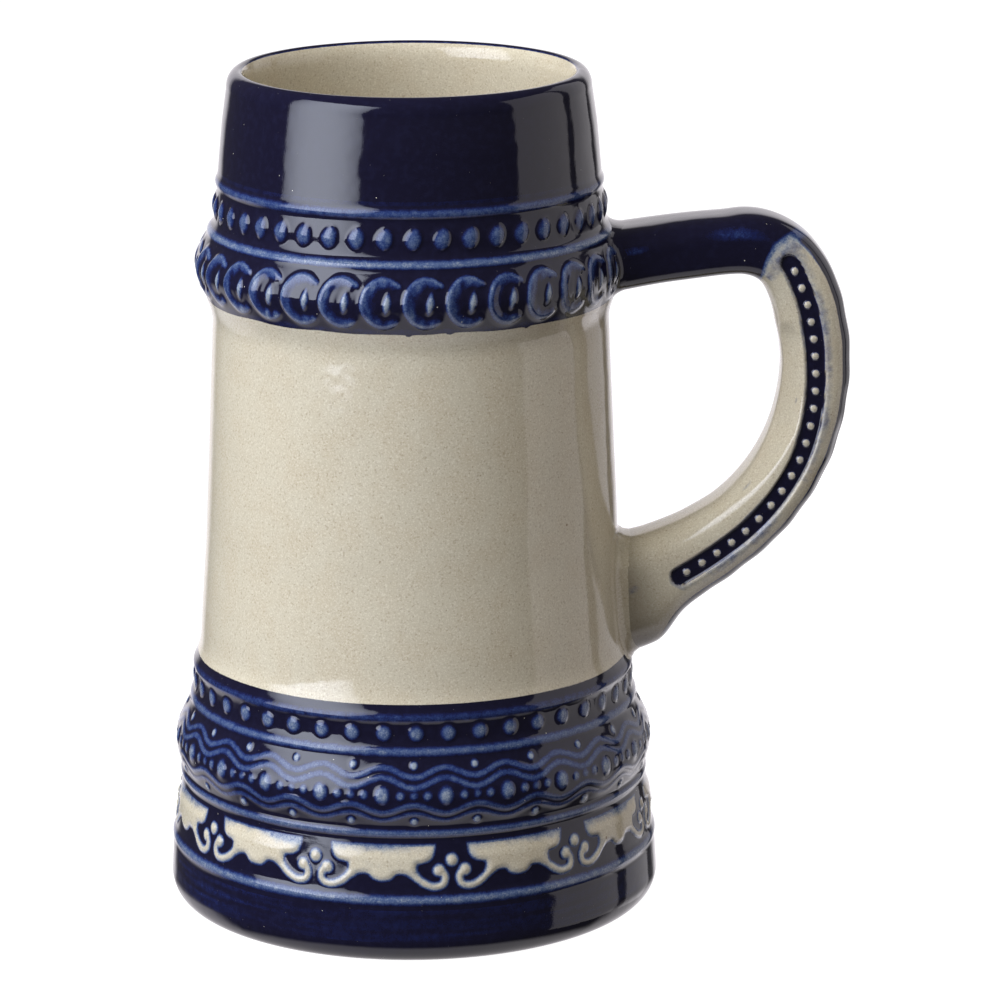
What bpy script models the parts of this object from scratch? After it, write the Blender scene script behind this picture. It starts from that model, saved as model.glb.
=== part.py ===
"""Half-litre stoneware beer stein without a lid: a cast body, a cast handle and the slip that joins them.

Metres, +Z up. The origin is the centre of the bounding box's underside. The body's axis stands a little
to the -X side of it, and the handle points along +X.
"""
import math

import bmesh
import bpy
from mathutils import Vector
from mathutils.geometry import interpolate_bezier

# ---- driving dimensions -------------------------------------------------------------------------------
HEIGHT = 0.160
FOOT_CONTACT_RADIUS = 0.0429
FOOT_RADIUS = 0.0468
FOOT_ROUND = 0.0046
FOOT_RING_INNER_RADIUS = 0.0350
UNDERSIDE_RECESS = 0.0020
RIM_RADIUS = 0.0341
RIM_INNER_RADIUS = 0.0303
RIM_ROUND_START = 0.1568
CUP_FLOOR = 0.0085
CUP_CORNER = 0.0075
HANDLE_REACH = 0.0827

COINS = 32                   # overlapping coins round the ring
SEGMENTS = 2 * COINS         # flats round the turned body: a coin, a groove, a coin
COIN_GROOVE = 0.0009         # depth of the groove between two coins

# The plain wall outside, from the foot up: (height, radius). Ridges and swellings are added to it.
PLAIN_WALL = (
    (FOOT_ROUND, FOOT_RADIUS),
    (0.0112, 0.0464),
    (0.0140, 0.0459),
    (0.0226, 0.0447),
    (0.0258, 0.0442),
    (0.0392, 0.0419),
    (0.0460, 0.0414),
    (0.0486, 0.0410),
    (0.0560, 0.0402),
    (0.0700, 0.0392),
    (0.0880, 0.0384),
    (0.1120, 0.0374),
    (0.1170, 0.0372),
    (0.1310, 0.0366),
    (0.1384, 0.0361),
    (0.1408, 0.0359),
    (0.1504, 0.0350),
    (RIM_ROUND_START, RIM_RADIUS),
)

# Ridges that run right round: (height of the crest, half height, how proud it stands).
RIDGES = (
    (0.0124, 0.0014, 0.0006),
    (0.0248, 0.0013, 0.0007),
    (0.0400, 0.0012, 0.0007),
    (0.0470, 0.0015, 0.0009),
    (0.1306, 0.0010, 0.0010),
    (0.1394, 0.0013, 0.0006),
)
BULGE = (0.0316, 0.0062, 0.0026)          # the swelling that carries the waves
COIN_RING = (0.1236, 0.0060, 0.0038)      # the swelling that carries the coins
SWELLING_ROWS = 4                         # rows of faces in each half of a swelling

# The wall inside the cup, from the rim down to the corner of its floor: (height, radius).
CUP_WALL = (
    (0.1500, 0.0304),
    (0.1320, 0.0312),
    (0.1120, 0.0324),
    (0.0800, 0.0340),
    (0.0500, 0.0358),
    (0.0300, 0.0384),
)

# The handle's centreline beside the body's axis, as Bezier knots: (arriving handle, knot, leaving handle),
# each a (radius, height). It leaves the coin ring, turns down at the corner and bows back to the wall.
CENTRELINE = (
    (None, (0.0345, 0.1240), (0.0440, 0.1256)),
    ((0.0550, 0.1273), (0.0615, 0.1274), (0.0700, 0.1275)),
    ((0.0763, 0.1176), (0.0763, 0.1045), (0.0763, 0.0912)),
    ((0.0705, 0.0793), (0.0607, 0.0716), (0.0555, 0.0675)),
    ((0.0440, 0.0601), (0.0345, 0.0580), None),
)
STEPS_PER_KNOT = 9

# The handle's half depth in its plane and half width across it, at fractions of its length.
HANDLE_SECTION = (
    (0.00, 0.0059, 0.0092),
    (0.10, 0.0055, 0.0088),
    (0.24, 0.0052, 0.0084),
    (0.34, 0.0059, 0.0083),
    (0.48, 0.0065, 0.0084),
    (0.72, 0.0069, 0.0085),
    (0.82, 0.0076, 0.0087),
    (0.88, 0.0091, 0.0089),
    (0.92, 0.0112, 0.0091),
    (1.00, 0.0116, 0.0094),
)
SECTION_POINTS = 20
SECTION_SQUARENESS = 3.0     # 2 is an ellipse, higher is a rounder-cornered rectangle

# The sunken channel on each side of the handle.
CHANNEL_START = 0.30
CHANNEL_END = 0.885
CHANNEL_HALF_WIDTH = 0.0018
CHANNEL_DEPTH = 0.0008
CHANNEL_CLEAR = 0.0015       # how far its cutter stands out of the side
CHANNEL_END_WIDTH = 0.25     # the narrowest part of its round ends, as a share of its width
CHANNEL_STEPS = 26

# The slip between the handle and the body.
TOUCHING_GAP = 0.0003
SLIP_THICKNESS = 0.0016
SLIP_FLARE = 0.0010          # how far the slip spreads past the handle all round
UPPER_SLIP_END = 0.16        # the slip is looked for this far along the handle, and past this far
LOWER_SLIP_START = 0.88

# The body's axis, placed so that the origin is in the middle of the whole object.
BODY_X = -(HANDLE_REACH - FOOT_RADIUS) / 2

COBALT = (0.012, 0.018, 0.085)
CREAM = (0.597, 0.533, 0.402)
GLAZE_ROUGHNESS = 0.12


# ---- small helpers ------------------------------------------------------------------------------------
def clear_scene():
    for old in list(bpy.data.objects):
        bpy.data.objects.remove(old, do_unlink=True)


def interpolate(table, x, column=1):
    """Straight-line reading of a table whose first column rises."""
    for low, high in zip(table, table[1:]):
        if x <= high[0]:
            share = max(0.0, (x - low[0]) / (high[0] - low[0]))
            return low[column] + share * (high[column] - low[column])
    return table[-1][column]


def swelling(height, centre, half_height, proud):
    """A raised cosine bump: how far it stands out at this height."""
    offset = abs(height - centre) / half_height
    return proud * 0.5 * (1 + math.cos(math.pi * offset)) if offset < 1 else 0.0


def glaze(name, colour):
    material = bpy.data.materials.new(name)
    material.use_nodes = True
    shader = material.node_tree.nodes["Principled BSDF"]
    shader.inputs["Base Color"].default_value = (*colour, 1.0)
    shader.inputs["Roughness"].default_value = GLAZE_ROUGHNESS
    shader.inputs["Metallic"].default_value = 0.0
    return material


def make_object(name, mesh, material):
    made = bpy.data.objects.new(name, mesh)
    made.location = (BODY_X, 0.0, 0.0)
    bpy.context.scene.collection.objects.link(made)
    if material:
        mesh.materials.append(material)
    mesh.shade_smooth()
    mesh.set_sharp_from_angle(angle=math.radians(40))
    return made


def mesh_from_rings(name, rings):
    """Skin a list of equal rings of points with quads, and close its ends with one face each."""
    bm = bmesh.new()
    rows = [[bm.verts.new(point) for point in ring] for ring in rings]
    for lower, upper in zip(rows, rows[1:]):
        for k in range(len(lower)):
            after = (k + 1) % len(lower)
            bm.faces.new((lower[k], lower[after], upper[after], upper[k]))
    bm.faces.new(list(reversed(rows[0])))
    bm.faces.new(rows[-1])
    bmesh.ops.recalc_face_normals(bm, faces=bm.faces[:])
    mesh = bpy.data.meshes.new(name)
    bm.to_mesh(mesh)
    bm.free()
    return mesh


def boolean(target, operation, tool):
    """Join or cut with a tool object that isn't a part of the stein."""
    tool.hide_render = True
    tool.display_type = "WIRE"
    modifier = target.modifiers.new(operation.lower() + "_" + tool.name, "BOOLEAN")
    modifier.operation = operation
    modifier.solver = "EXACT"
    modifier.object = tool


# ---- body ---------------------------------------------------------------------------------------------
def outside_radius(height):
    """Radius of the body's outside, with its ridges and swellings but without the coins' grooves."""
    radius = interpolate(PLAIN_WALL, height)
    for bump in (*RIDGES, BULGE, COIN_RING):
        radius += swelling(height, *bump)
    return radius


def outside_heights():
    """The heights at which the outside needs a row of points."""
    heights = {row[0] for row in PLAIN_WALL}
    for centre, half_height, _proud in RIDGES:
        heights |= {centre - half_height, centre, centre + half_height}
    for centre, half_height, _proud in (BULGE, COIN_RING):
        for row in range(-SWELLING_ROWS, SWELLING_ROWS + 1):
            heights.add(centre + half_height * row / SWELLING_ROWS)
    ordered = sorted(heights)
    return [h for h, after in zip(ordered, ordered[1:]) if after - h > 0.0003] + ordered[-1:]


def quarter_round(start, end, steps, bulge_first):
    """Points strictly between two (radius, height) points on a quarter ellipse."""
    points = []
    for step in range(1, steps):
        angle = math.radians(90) * step / steps
        fast, slow = math.sin(angle), 1 - math.cos(angle)
        along_radius, along_height = (fast, slow) if bulge_first == "radius" else (slow, fast)
        radius = start[0] + (end[0] - start[0]) * along_radius
        height = start[1] + (end[1] - start[1]) * along_height
        points.append((radius, height))
    return points


def body_profile():
    """The body's cut outline, from the underside's middle, up the outside and down into the cup."""
    foot_edge = (FOOT_CONTACT_RADIUS, 0.0)
    foot_top = (FOOT_RADIUS, FOOT_ROUND)
    rim_outside = (RIM_RADIUS, RIM_ROUND_START)
    rim_crest = ((RIM_RADIUS + RIM_INNER_RADIUS) / 2, HEIGHT)
    rim_inside = (RIM_INNER_RADIUS, RIM_ROUND_START)
    floor_corner_top = (CUP_WALL[-1][1], CUP_FLOOR + CUP_CORNER)
    floor_corner_foot = (CUP_WALL[-1][1] - CUP_CORNER, CUP_FLOOR)
    profile = [
        (FOOT_RING_INNER_RADIUS - UNDERSIDE_RECESS, UNDERSIDE_RECESS),
        (FOOT_RING_INNER_RADIUS, 0.0),
        foot_edge,
    ]
    profile += quarter_round(foot_edge, foot_top, 4, "radius")
    profile += [(outside_radius(height), height) for height in outside_heights()]
    profile += quarter_round(rim_outside, rim_crest, 3, "height")
    profile.append(rim_crest)
    profile += quarter_round(rim_crest, rim_inside, 3, "radius")
    profile.append(rim_inside)
    profile += [(radius, height) for height, radius in CUP_WALL]
    profile.append(floor_corner_top)
    profile += quarter_round(floor_corner_top, floor_corner_foot, 4, "height")
    profile.append(floor_corner_foot)
    return profile


def coin_groove(radius, height, segment):
    """How deep the outside is cut here: every second flat round the ring is a groove between two coins."""
    if segment % 2 == 0 or radius < RIM_RADIUS:
        return 0.0
    return swelling(height, COIN_RING[0], COIN_RING[1], COIN_GROOVE)


def turned(name, profile, grooved=False):
    """Turn (radius, height) points round the Z axis and close both ends flat."""
    rings = []
    for radius, height in profile:
        ring = []
        for segment in range(SEGMENTS):
            angle = math.tau * segment / SEGMENTS
            here = radius - coin_groove(radius, height, segment) if grooved else radius
            ring.append((here * math.cos(angle), here * math.sin(angle), height))
        rings.append(ring)
    return mesh_from_rings(name, rings)


def make_body():
    mesh = turned("stein_body", body_profile(), grooved=True)
    return make_object("stein_body", mesh, glaze("body_glaze", CREAM))


def body_plug(name, offset):
    """A solid of the body's outside shape, larger by offset, that trims what touches the body."""
    rows = [(outside_radius(height) + offset, height) for height in outside_heights()]
    return make_object(name, turned(name, rows), None)


# ---- handle -------------------------------------------------------------------------------------------
def centreline():
    """Points along the middle of the handle, evenly stepped between its knots."""
    points = []
    for (_before, knot, leaving), (arriving, after, _next) in zip(CENTRELINE, CENTRELINE[1:]):
        ends = [Vector((radius, 0.0, height)) for radius, height in (knot, leaving, arriving, after)]
        stretch = interpolate_bezier(*ends, STEPS_PER_KNOT + 1)
        points += stretch[1:] if points else stretch
    return points


def fractions_along(points):
    """How far each point lies along the line, from 0 to 1."""
    run = [0.0]
    for here, after in zip(points, points[1:]):
        run.append(run[-1] + (after - here).length)
    return [distance / run[-1] for distance in run]


def point_and_outward(points, fractions, fraction):
    """The centreline's point at a fraction of its length, and the way out of the finger gap there."""
    k = 0
    while fraction > fractions[k + 1] and k < len(points) - 2:
        k += 1
    share = (fraction - fractions[k]) / (fractions[k + 1] - fractions[k])
    before = points[k + 1] - points[max(0, k - 1)]
    after = points[min(len(points) - 1, k + 2)] - points[k]
    tangent = before.normalized().lerp(after.normalized(), share)
    outward = Vector((-tangent.z, 0.0, tangent.x)).normalized()
    return points[k].lerp(points[k + 1], share), outward


def section_ring(centre, outward, half_depth, half_width):
    """A rounded rectangle across the handle."""
    ring = []
    power = 2 / SECTION_SQUARENESS
    for k in range(SECTION_POINTS):
        angle = math.tau * (k + 0.5) / SECTION_POINTS
        c, s = math.cos(angle), math.sin(angle)
        deep = half_depth * math.copysign(abs(c) ** power, c)
        wide = half_width * math.copysign(abs(s) ** power, s)
        ring.append(centre + outward * deep + Vector((0.0, wide, 0.0)))
    return ring


def swept(name, first, last, spread, material):
    """The handle's shape between two fractions of its length, spread outward all round."""
    points = centreline()
    fractions = fractions_along(points)
    stops = sorted({first, last} | {f for f in fractions if first < f < last})
    rings = []
    for stop in stops:
        centre, outward = point_and_outward(points, fractions, stop)
        half_depth = interpolate(HANDLE_SECTION, stop, 1) + spread
        half_width = interpolate(HANDLE_SECTION, stop, 2) + spread
        rings.append(section_ring(centre, outward, half_depth, half_width))
    return make_object(name, mesh_from_rings(name, rings), material)


def channel_cutter(name, side):
    """A flat-bottomed groove with round ends, along the middle of one side of the handle."""
    points = centreline()
    fractions = fractions_along(points)
    length = sum((after - here).length for here, after in zip(points, points[1:]))
    end_share = CHANNEL_HALF_WIDTH / length
    rings = []
    for step in range(CHANNEL_STEPS + 1):
        turn = math.pi * step / CHANNEL_STEPS
        fraction = CHANNEL_START + (CHANNEL_END - CHANNEL_START) * 0.5 * (1 - math.cos(turn))
        nearest_end = min(fraction - CHANNEL_START, CHANNEL_END - fraction)
        reach = max(0.0, 1 - nearest_end / end_share)
        half = CHANNEL_HALF_WIDTH * max(CHANNEL_END_WIDTH, math.sqrt(1 - reach * reach))
        centre, outward = point_and_outward(points, fractions, fraction)
        half_width = interpolate(HANDLE_SECTION, fraction, 2)
        floor = Vector((0.0, side * (half_width - CHANNEL_DEPTH), 0.0))
        top = Vector((0.0, side * (half_width + CHANNEL_CLEAR), 0.0))
        across = outward * half
        low, high = centre + floor, centre + top
        rings.append([low - across, low + across, high + across, high - across])
    return make_object(name, mesh_from_rings(name, rings), None)


def make_handle():
    handle = swept("handle", 0.0, 1.0, 0.0, glaze("handle_glaze", CREAM))
    boolean(handle, "DIFFERENCE", body_plug("handle_trim", SLIP_THICKNESS + TOUCHING_GAP))
    for side in (-1, 1):
        boolean(handle, "DIFFERENCE", channel_cutter("channel_cutter", side))
    return handle


# ---- luting slip --------------------------------------------------------------------------------------
def make_slip_joint(name, first, last, colour):
    """The slip squeezed between one end of the handle and the body."""
    joint = swept(name, first, last, SLIP_FLARE, glaze(name + "_glaze", colour))
    boolean(joint, "INTERSECT", body_plug(name + "_face", SLIP_THICKNESS))
    boolean(joint, "DIFFERENCE", body_plug(name + "_seat", TOUCHING_GAP))
    return joint


def main():
    clear_scene()
    make_body()
    make_handle()
    make_slip_joint("upper_slip_joint", 0.0, UPPER_SLIP_END, COBALT)
    make_slip_joint("lower_slip_joint", LOWER_SLIP_START, 1.0, CREAM)


main()
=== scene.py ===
import math

import bpy
import numpy as np
from mathutils import Matrix, Quaternion, Vector
from mathutils.geometry import interpolate_bezier


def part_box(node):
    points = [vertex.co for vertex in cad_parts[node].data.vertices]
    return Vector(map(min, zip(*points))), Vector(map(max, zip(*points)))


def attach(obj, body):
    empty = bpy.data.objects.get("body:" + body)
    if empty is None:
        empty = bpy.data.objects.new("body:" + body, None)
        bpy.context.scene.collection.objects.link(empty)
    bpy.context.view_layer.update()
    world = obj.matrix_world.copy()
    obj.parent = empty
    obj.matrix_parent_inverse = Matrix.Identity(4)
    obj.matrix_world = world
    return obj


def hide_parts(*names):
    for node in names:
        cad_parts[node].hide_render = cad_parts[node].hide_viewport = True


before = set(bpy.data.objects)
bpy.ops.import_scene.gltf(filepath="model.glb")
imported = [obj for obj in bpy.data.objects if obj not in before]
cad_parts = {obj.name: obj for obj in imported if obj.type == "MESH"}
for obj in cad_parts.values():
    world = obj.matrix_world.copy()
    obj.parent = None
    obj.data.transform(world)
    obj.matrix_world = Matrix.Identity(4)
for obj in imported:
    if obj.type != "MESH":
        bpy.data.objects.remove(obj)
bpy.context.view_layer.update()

# Beer stein of glazed stoneware: a turned body with moulded belts of relief, and one handle that is
# luted on. Lengths are in metres, heights are above the table, angles round the body are in degrees.
# Angle 0 faces the camera (-Y) and angle 90 is the handle's side (+X).
BODY_LOW, BODY_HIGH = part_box("stein_body")
AXIS_X = (BODY_LOW.x + BODY_HIGH.x) / 2
HEIGHT = BODY_HIGH.z

# ---------------- the body's plain shape
PLAIN_WALL = (  # (height, radius) of the outside, without its relief
    (0.0046, 0.0468), (0.0112, 0.0464), (0.0140, 0.0459), (0.0226, 0.0446), (0.0258, 0.0440),
    (0.0392, 0.0419), (0.0425, 0.04165), (0.0450, 0.04172), (0.0472, 0.0416), (0.0486, 0.04112),
    (0.0500, 0.04072), (0.0514, 0.0405), (0.0560, 0.0402), (0.0700, 0.0392), (0.0880, 0.0384),
    (0.1134, 0.0373), (0.1152, 0.0376), (0.1170, 0.0383), (0.1290, 0.0379), (0.1316, 0.0368),
    (0.1332, 0.0365), (0.1350, 0.0365), (0.1384, 0.0360), (0.1408, 0.0359), (0.1504, 0.0350),
    (0.1568, 0.0341))
CUP_WALL = (  # (height, radius) of the inside
    (0.0160, 0.0392), (0.0300, 0.0384), (0.0500, 0.0358), (0.0800, 0.0340), (0.1120, 0.0324),
    (0.1320, 0.0312), (0.1500, 0.0304), (0.1576, 0.0302))
FOOT_CONTACT_RADIUS = 0.0429
FOOT_ROUND_HEIGHT = 0.0046
FOOT_RING_INNER_RADIUS = 0.0350
FOOT_TONE = 0.285  # how thin the cobalt lies on the foot
UNDERSIDE_RECESS = 0.0020
RECESS_MARGIN = 0.0022  # the recess starts to turn down this far inside the foot ring
RECESS_TURN = (0.0018, 0.0008)  # how wide its turn is, and the height where the turn ends
CUP_FLOOR = 0.0085
CUP_CORNER = (0.0075, 0.0160)  # how wide the corner above the floor is, and the height where it ends
CREST_RADIUS = 0.0319
LIP_START = 0.1568  # where the outside starts to turn over into the lip
LIP_INSIDE = 0.1562  # where the lip has become the inside wall
LIP_CREAM = (0.03130, 0.03100)  # radii between which cobalt gives way to cream, and where it thins
LIP_THIN = (0.03165, 0.0312)

# ---------------- belts of relief
BELT_COLUMNS = 960
BELT_STEP = 0.00028
BELT_DEPTH = 0.0006
BACK_ROWS = 8
CORE_COLUMNS = 360
UPPER_BELT = (0.1164, 0.1416)
WAVE_BELT = (0.0233, 0.0500)
SCROLL_BELT = (0.0106, 0.0233)
BELT_RADIUS = 0.042  # radii that turn angles into lengths along the relief
UPPER_BEADS_RADIUS = 0.0374
COINS_RADIUS = 0.0405
LOWER_BEADS_RADIUS = 0.0418
WAVES_RADIUS = 0.0452
SCROLLS_RADIUS = 0.0454

# soft rings that run all round: (centre height, half height, how proud)
UPPER_RINGS = ((0.1394, 0.0014, 0.00045), (0.1304, 0.0013, 0.00060))
COIN_RING = (  # (height, how proud)
    (0.1100, 0.0), (0.1172, 0.0), (0.1200, 0.0011), (0.1216, 0.00175), (0.1232, 0.0022), (0.1248, 0.0021),
    (0.1264, 0.0016), (0.1280, 0.0008), (0.1296, 0.0002), (0.1310, 0.0), (0.1400, 0.0))
WAVE_RINGS = ((0.0463, 0.0016, 0.00042), (0.0401, 0.0014, 0.00038), (0.0250, 0.0013, 0.00055))
WAVE_BULGE = (  # (height, how proud)
    (0.0200, 0.0), (0.0247, 0.0), (0.0256, 0.0002), (0.0272, 0.00097), (0.0288, 0.00162), (0.0304, 0.00217),
    (0.0320, 0.00237), (0.0336, 0.00232), (0.0352, 0.00192), (0.0368, 0.00132), (0.0384, 0.00082),
    (0.0400, 0.00046), (0.0416, 0.00017), (0.0428, 0.0), (0.0600, 0.0))
SCROLL_RING = (0.0126, 0.0015, 0.00036)

UPPER_BEADS = 44
UPPER_BEAD_HEIGHT = 0.13485
UPPER_BEAD_SIZE = (0.00182, 0.00225, 0.00060)  # half width, half height, how proud
UPPER_BEAD_PHASE = 0.7
LOWER_BEADS = 44
LOWER_BEAD_HEIGHT = 0.04344
LOWER_BEAD_SIZE = (0.00166, 0.00178, 0.00048)  # in the same terms, as are the dots below
LOWER_BEAD_PHASE = 0.6

COINS = 32
COIN_PHASE = 5.0
COIN_HEIGHT = 0.12365
COIN_HALF_SIZE = (0.00450, 0.00505)  # half width, half height
COIN_SIDEWAYS = -0.0007  # the coin's centre, beside the bar in its middle
COIN_EDGE_PROUD = 0.00038
COIN_HOOK = (0.0029, 0.0034, 0.00080)  # the upper hook's round end: beside and above the centre, radius
COIN_BAR = (0.00085, 0.0024, 0.00034)  # half width, half height, how proud

WAVES = 24
WAVE_PITCH = 360 / WAVES
# each wavy line: (mean height, swing, half width, tone); a negative swing dips at angle 0
WAVE_LINES = ((0.03656, -0.00080, 0.00066, 0.56), (0.03480, -0.00088, 0.00064, 0.50),
              (0.02990, 0.00080, 0.00064, 0.46), (0.02824, 0.00072, 0.00058, 0.42))
WAVE_LINE_PROUD = 0.00013
CHAIN_HEIGHT = 0.0325
CHAIN_OVAL = (0.00150, 0.0018, 0.00036)
CHAIN_DOT = (0.00086, 0.00095, 0.00022)
CHAIN_DOT_OFFSET = 4.3
CHAIN_PINCH_DOT = (0.00080, 0.00080, 0.00016)
EDGE_DOT = (0.00085, 0.00085, 0.00034)
EDGE_DOT_HEIGHTS = (0.03772, 0.02736)

SCROLLS = 11
SCROLL_PITCH = 360 / SCROLLS
SCROLL_PHASE = 8.8
SCROLL_BALL = (0.01992, 0.00104)  # height, radius
# one side of the hanging drapery: (angle from the scroll's middle, height of its lower edge)
DRAPERY_EDGE = ((0.0, 0.0240), (4.0, 0.0240), (4.16, 0.0224), (4.35, 0.0211), (4.9, 0.0202), (5.9, 0.0197),
                (8.25, 0.01935), (8.45, 0.0186), (8.75, 0.0176), (9.2, 0.0173), (10.6, 0.01745),
                (12.6, 0.0176), (13.3, 0.0174), (14.0, 0.0167), (14.9, 0.01635), (16.4, 0.0162))
DRAPERY_TOP = 0.02262
COMMA = ((3.05, 0.01805), (2.15, 0.0176), (1.72, 0.0168), (1.95, 0.0158), (2.9, 0.0152), (4.6, 0.0151),
         (6.5, 0.0157), (8.0, 0.0166), (9.3, 0.0176))  # (angle, height) along the stroke's middle
COMMA_HALF_WIDTH = 0.00058
COMMA_HEAD_RADIUS = 0.00102
SCROLL_PROUD = 0.00050

CREAM_STARTS = 0.11775  # upper edge of the cream wall
CREAM_ENDS = 0.04864

# ---------------- the handle
# knots of the centreline: (left control, knot, right control), each (radius from the axis, height)
CENTRELINE = ((None, (0.0345, 0.1240), (0.0440, 0.1256)),
              ((0.0550, 0.1273), (0.0615, 0.1274), (0.0700, 0.1275)),
              ((0.0763, 0.1176), (0.0763, 0.1045), (0.0763, 0.0912)),
              ((0.0705, 0.0793), (0.0607, 0.0716), (0.0555, 0.0675)),
              ((0.0440, 0.0601), (0.0345, 0.0580), None))
HANDLE_SECTION = (  # (share of the length, half depth inside and outside the centreline, half width)
    (0.00, 0.0064, 0.0056, 0.0092), (0.10, 0.0060, 0.0052, 0.0088), (0.20, 0.0059, 0.0050, 0.0085),
    (0.24, 0.0060, 0.0057, 0.0084), (0.29, 0.0058, 0.0066, 0.0083), (0.34, 0.0064, 0.0067, 0.0083),
    (0.39, 0.0069, 0.0065, 0.0083), (0.46, 0.0065, 0.0066, 0.0084), (0.66, 0.0064, 0.0069, 0.0085),
    (0.76, 0.0067, 0.0070, 0.0086), (0.82, 0.0073, 0.0074, 0.0087), (0.86, 0.0081, 0.0076, 0.0088),
    (0.89, 0.0087, 0.0086, 0.0089), (0.93, 0.0100, 0.0120, 0.0091), (1.00, 0.0112, 0.0119, 0.0094))
HANDLE_RIDGE = (  # (share of the length, where the flat side ends in a soft ridge, inside the centreline)
    (0.30, -0.0030), (0.50, -0.0023), (0.57, -0.0020), (0.65, -0.0028), (0.72, -0.0035), (0.80, -0.0043),
    (0.90, -0.0052))
FLANK_SLOPE = 1.1  # how fast the handle narrows inside the ridge
HANDLE_STEPS = 560
HANDLE_POINTS = 124
HANDLE_SQUARENESS = 3.0
HANDLE_FROM, HANDLE_TO = 0.012, 0.984  # its ends stay inside the body's wall
CHANNEL_HALF_WIDTH = 0.00188
CHANNEL_DEPTH = 0.0008
CHANNEL_SPAN = (0.2979, 0.8624)  # shares of the length where the round ends' middles are
CHANNEL_OFFSET = (  # (share of the length, the channel's middle outside the centreline)
    (0.30, 0.0009), (0.335, 0.0001), (0.40, -0.0005), (0.45, -0.0005), (0.50, -0.0001), (0.56, 0.0004),
    (0.61, 0.0008), (0.90, 0.0009))
CHANNEL_BEADS = 21
CHANNEL_BEAD_SPAN = (0.3102, 0.8509)
CHANNEL_BEAD_RADIUS = 0.00080
CHANNEL_BEAD_PROUD = 0.00045
COBALT_ARM_END = 0.2745  # share of the length
STAINS = (  # soft marks of cobalt: (share of the length, depth, half length, half width)
    (0.520, -0.0034, 0.0016, 0.0004), (0.690, -0.0048, 0.0026, 0.0007),
    (0.575, 0.0031, 0.0030, 0.0004), (0.800, 0.0040, 0.0065, 0.0006), (0.935, -0.0010, 0.0022, 0.0014))
ARM_PATCHES = (  # where the cobalt lies thinner on the arm, in the same terms
    (0.060, 0.0016, 0.0036, 0.0010), (0.212, 0.0024, 0.0066, 0.0016))
BACK_LUMP_PITCH = 0.0067
BACK_LUMP_PROUD = 0.00007


# ---------------- small tools
def ease(low, high, value):
    """0 below low, 1 above high, and a smooth step between."""
    t = np.clip((value - low) / (high - low), 0.0, 1.0)
    return t * t * (3 - 2 * t)


def from_nearest(theta, pitch, phase=0.0):
    """Signed angle from the nearest of the repeats."""
    return (theta - phase + pitch / 2) % pitch - pitch / 2


def swelling(z, centre, half_height, proud):
    """A soft ring all round the body."""
    t = np.clip(np.abs(z - centre) / half_height, 0, 1)
    return proud * (1 + np.cos(math.pi * t)) / 2


def stroke(distance, half_width):
    """Tone of a raised line or spot: 1 on its middle, gone a little outside its edge."""
    return ease(1.25, 0.35, distance / half_width)


def dome(distance, proud, power=0.6):
    """A rounded rise: distance is 0 in its middle and 1 at its edge."""
    return proud * np.clip(1 - distance ** 2, 0, 1) ** power


def bell(sigma, reach):
    """Offsets out to the reach on both sides, and a Gaussian blur's weights at them."""
    offsets = np.arange(-reach, reach + 1)
    weights = np.exp(-0.5 * (offsets / sigma) ** 2)
    return offsets, weights / weights.sum()


def blurred(field, sigma_rows, sigma_columns):
    """Gaussian blur of a grid that wraps round along its columns."""
    out = np.zeros_like(field)
    for offset, weight in zip(*bell(sigma_columns, max(1, math.ceil(3 * sigma_columns)))):
        out += weight * np.roll(field, offset, axis=1)
    reach = max(1, math.ceil(3 * sigma_rows))
    padded = np.pad(out, ((reach, reach), (0, 0)), mode="edge")
    rows = field.shape[0]
    return sum(w * padded[reach + o:reach + o + rows] for o, w in zip(*bell(sigma_rows, reach)))


def ripple(theta, z, seed, size, amount):
    """Smooth uneven variation over the body, about zero: size is the length of its waves."""
    random = np.random.RandomState(seed)
    total = np.zeros(np.broadcast(theta, z).shape)
    terms = 24
    most_turns = max(2, int(2 * math.pi * 0.04 / size))
    for _ in range(terms):
        turns = random.randint(0, most_turns + 1)
        rise = random.uniform(-1, 1) * 2 * math.pi / size
        total += np.cos(np.radians(turns * theta) + rise * z + random.uniform(0, 2 * math.pi))
    return amount * total / math.sqrt(terms)


def smooth_profile(knots, soften=0.0006):
    """A function radius(height) through the knots, with its corners softened."""
    heights, radii = np.array(knots).T
    fine = np.arange(heights[0] - 0.01, heights[-1] + 0.01, 0.0001)
    slope_low = (radii[1] - radii[0]) / (heights[1] - heights[0])
    slope_high = (radii[-1] - radii[-2]) / (heights[-1] - heights[-2])
    line = np.interp(fine, heights, radii)
    line = np.where(fine < heights[0], radii[0] + slope_low * (fine - heights[0]), line)
    line = np.where(fine > heights[-1], radii[-1] + slope_high * (fine - heights[-1]), line)
    _, weights = bell(soften / 0.0001, 40)
    line = np.convolve(np.pad(line, 40, mode="edge"), weights, mode="valid")
    return lambda z: np.interp(z, fine, line)


outside = smooth_profile(PLAIN_WALL)
inside = smooth_profile(CUP_WALL, soften=0.0015)
coin_ring = smooth_profile(COIN_RING)
wave_bulge = smooth_profile(WAVE_BULGE)


def around(radius, theta, z):
    """Points at a radius from the body's axis, at an angle and a height."""
    angle = np.radians(theta)
    x = AXIS_X + radius * np.sin(angle)
    y = -radius * np.cos(angle)
    return np.stack(np.broadcast_arrays(x, y, z), axis=-1)


def into_scene(name, data):
    made = bpy.data.objects.new(name, data)
    bpy.context.scene.collection.objects.link(made)
    return made


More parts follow.
